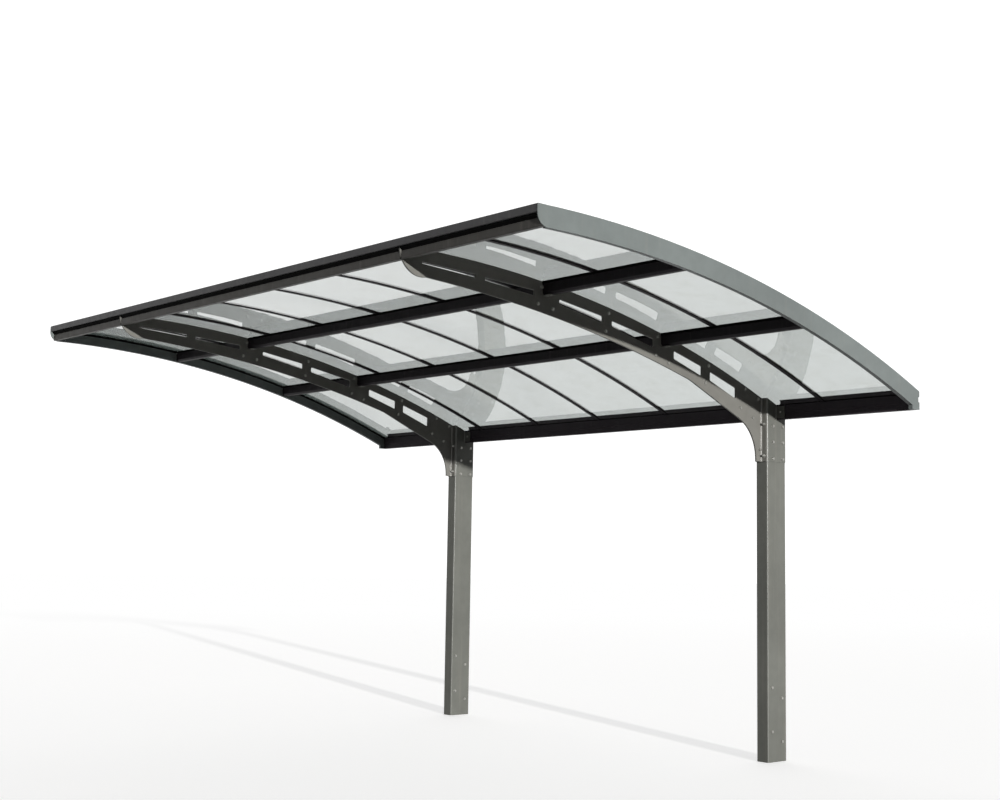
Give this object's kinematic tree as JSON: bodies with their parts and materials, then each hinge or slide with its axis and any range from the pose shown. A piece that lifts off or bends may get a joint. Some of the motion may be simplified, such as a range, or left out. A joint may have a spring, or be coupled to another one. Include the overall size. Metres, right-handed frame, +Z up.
{
  "type": "cantilever carport",
  "caption": "Arched clear roof carried by slotted cantilever arms on posts along its low rear edge, open on the other sides, to park a car under.",
  "frame": {"origin": "centre of the flat underside of the left post's ground anchor", "axes": "+X along the line of the posts towards the right post, -Y towards the high front edge of the roof, +Z up"},
  "size_m": [4.98, 2.9393, 2.7044],
  "materials": {
    "post_paint": "matt powder coat",
    "arm_paint": "matt powder coat",
    "gable_paint": "satin powder coat",
    "frame_paint": "satin powder coat",
    "galvanised_steel": "galvanised",
    "clear_sheet": "glossy clear plastic with a light grey tint"
  },
  "bodies": {
    "root": {"front_beam_left": "frame_paint", "front_beam_middle": "frame_paint", "front_beam_right": "frame_paint", "front_trim": "frame_paint", "glazing_bar_1": "frame_paint", "glazing_bar_2": "frame_paint", "glazing_bar_3": "frame_paint", "glazing_bar_4": "frame_paint", "glazing_bar_5": "frame_paint", "glazing_bar_6": "frame_paint", "glazing_bar_7": "frame_paint", "left_arm_left_plate": "arm_paint", "left_arm_right_plate": "arm_paint", "left_gable_arch": "gable_paint", "left_post": "post_paint", "left_post_anchor": "galvanised_steel", "left_post_head": "post_paint", "lower_purlin_left": "frame_paint", "lower_purlin_middle": "frame_paint", "lower_purlin_right": "frame_paint", "rear_gutter_left": "frame_paint", "rear_gutter_middle": "frame_paint", "rear_gutter_right": "frame_paint", "right_arm_left_plate": "arm_paint", "right_arm_right_plate": "arm_paint", "right_gable_arch": "gable_paint", "right_post": "post_paint", "right_post_anchor": "galvanised_steel", "right_post_head": "post_paint", "roof_panel_1": "clear_sheet", "roof_panel_2": "clear_sheet", "roof_panel_3": "clear_sheet", "roof_panel_4": "clear_sheet", "roof_panel_5": "clear_sheet", "roof_panel_6": "clear_sheet", "roof_panel_7": "clear_sheet", "roof_panel_8": "clear_sheet", "upper_purlin_left": "frame_paint", "upper_purlin_middle": "frame_paint", "upper_purlin_right": "frame_paint"}
  },
  "joints": []
}
